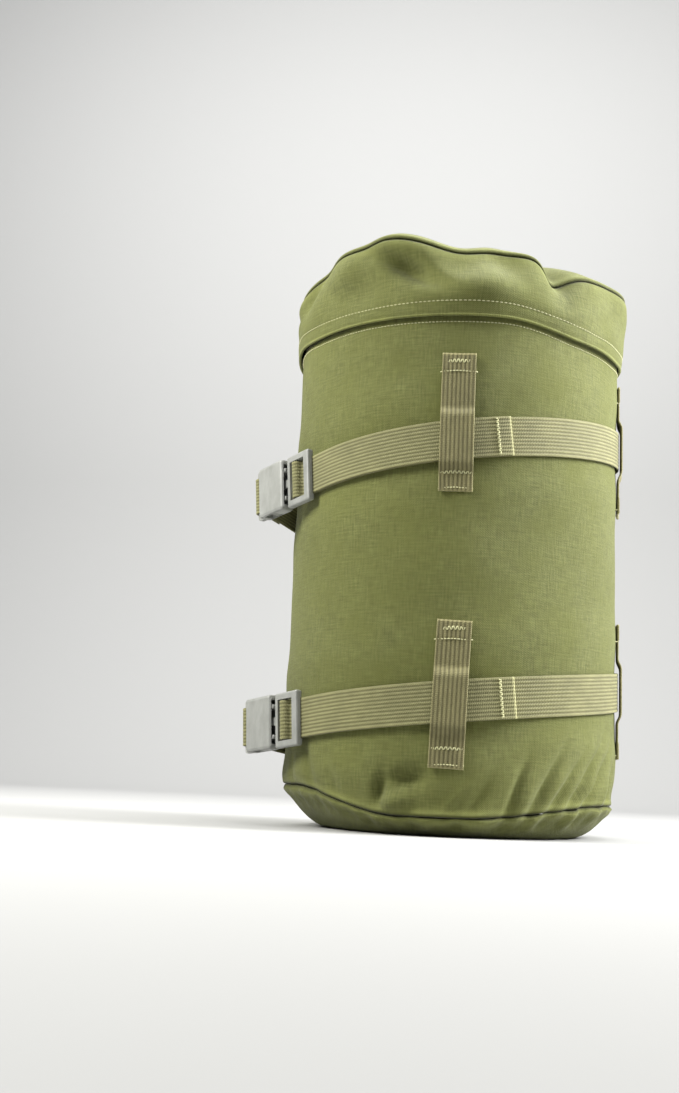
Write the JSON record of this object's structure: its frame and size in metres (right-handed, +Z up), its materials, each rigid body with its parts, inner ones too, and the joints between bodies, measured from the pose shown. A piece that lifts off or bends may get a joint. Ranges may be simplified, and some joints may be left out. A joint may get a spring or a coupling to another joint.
{
  "type": "stuff sack",
  "caption": "Cylindrical fabric sack with a flat back, a domed zip-round lid, and two webbing straps held by sewn keepers and closed by side-release buckles.",
  "frame": {"origin": "on the floor under the sack's axis, at the middle of the base's flat patch", "axes": "+Z up along the sack's axis, -Y towards the front with the vertical keepers, +Y towards the flat back"},
  "size_m": [0.2511, 0.2002, 0.3785],
  "materials": {
    "nylon_fabric": "matte textured olive nylon, faintly mottled",
    "strap_webbing": "ribbed olive-khaki nylon webbing, slight sheen",
    "keeper_webbing": "ribbed olive-brown nylon webbing",
    "binding_tape": "plain woven olive tape",
    "buckle_plastic": "moulded grey-olive acetal, fine matte grain",
    "zip_coil": "olive nylon teeth",
    "zip_metal": "dull bronze lacquered metal"
  },
  "bodies": {
    "sack": {"back_panel": "nylon_fabric", "base_panel": "nylon_fabric", "base_seam_binding": "binding_tape", "front_panel": "nylon_fabric", "left_seam_binding": "binding_tape", "left_zip_stop": "zip_metal", "lid_hinge_tape": "binding_tape", "lower_anchor_web": "strap_webbing", "lower_buckle_plug": "buckle_plastic", "lower_front_keeper": "keeper_webbing", "lower_right_keeper": "keeper_webbing", "lower_strap": "strap_webbing", "lower_zip_tape": "binding_tape", "lower_zip_teeth": "zip_coil", "right_seam_binding": "binding_tape", "right_zip_stop": "zip_metal", "upper_anchor_web": "strap_webbing", "upper_buckle_plug": "buckle_plastic", "upper_front_keeper": "keeper_webbing", "upper_right_keeper": "keeper_webbing", "upper_strap": "strap_webbing"},
    "lid": {"lid_skirt": "nylon_fabric", "lid_back_band": "nylon_fabric", "lid_top_panel": "nylon_fabric", "lid_seam_binding": "binding_tape", "upper_zip_tape": "binding_tape", "upper_zip_teeth": "zip_coil"},
    "zip_slider": {"zip_slider": "zip_metal"},
    "zip_pull": {"zip_pull": "zip_metal"},
    "upper_socket": {"upper_buckle_socket": "buckle_plastic"},
    "upper_lower_prong": {"upper_buckle_lower_prong": "buckle_plastic"},
    "upper_upper_prong": {"upper_buckle_upper_prong": "buckle_plastic"},
    "lower_socket": {"lower_buckle_socket": "buckle_plastic"},
    "lower_lower_prong": {"lower_buckle_lower_prong": "buckle_plastic"},
    "lower_upper_prong": {"lower_buckle_upper_prong": "buckle_plastic"}
  },
  "joints": [
    {"name": "lid_hinge", "type": "hinge", "parent": "sack", "child": "lid", "pos_m": [0, 0.08205, 0.3255], "axis": [-1, 0, 0], "range_deg": [0, 150], "deforming": ["lid_hinge_tape"]},
    {"name": "zip_travel", "type": "hinge", "parent": "sack", "child": "zip_slider", "pos_m": [0, 0, 0.3255], "axis": [0, 0, 1], "range_deg": [0, 228]},
    {"name": "zip_pull_swing", "type": "hinge", "parent": "zip_slider", "child": "zip_pull", "pos_m": [-0.10131, 0.04511, 0.3273], "axis": [0.4067, 0.9135, 0], "range_deg": [0, 95]},
    {"name": "upper_buckle_release", "type": "slide", "parent": "sack", "child": "upper_socket", "axis": [-0.6641, 0.7376, -0.1221], "range_m": [0, 0.024], "deforming": ["upper_anchor_web", "upper_buckle_lower_prong", "upper_buckle_upper_prong"]},
    {"name": "upper_lower_prong_squeeze", "type": "hinge", "parent": "sack", "child": "upper_lower_prong", "pos_m": [-0.11041, -0.04894, 0.21318], "axis": [0.7431, 0.6691, 0], "range_deg": [0, 15], "stiffness_Nm_per_rad": 0.1},
    {"name": "upper_upper_prong_squeeze", "type": "hinge", "parent": "sack", "child": "upper_upper_prong", "pos_m": [-0.11201, -0.04716, 0.23263], "axis": [-0.7431, -0.6691, 0], "range_deg": [0, 15], "stiffness_Nm_per_rad": 0.1},
    {"name": "lower_buckle_release", "type": "slide", "parent": "sack", "child": "lower_socket", "axis": [-0.6657, 0.7393, -0.1015], "range_m": [0, 0.024], "deforming": ["lower_anchor_web", "lower_buckle_lower_prong", "lower_buckle_upper_prong"]},
    {"name": "lower_lower_prong_squeeze", "type": "hinge", "parent": "sack", "child": "lower_lower_prong", "pos_m": [-0.11061, -0.04872, 0.05589], "axis": [0.7431, 0.6691, 0], "range_deg": [0, 15], "stiffness_Nm_per_rad": 0.1},
    {"name": "lower_upper_prong_squeeze", "type": "hinge", "parent": "sack", "child": "lower_upper_prong", "pos_m": [-0.11194, -0.04724, 0.07539], "axis": [-0.7431, -0.6691, 0], "range_deg": [0, 15], "stiffness_Nm_per_rad": 0.1}
  ],
  "couplings": [
    {"joint": "upper_lower_prong_squeeze", "follows": "upper_upper_prong_squeeze", "ratio": 1},
    {"joint": "lower_lower_prong_squeeze", "follows": "lower_upper_prong_squeeze", "ratio": 1}
  ]
}
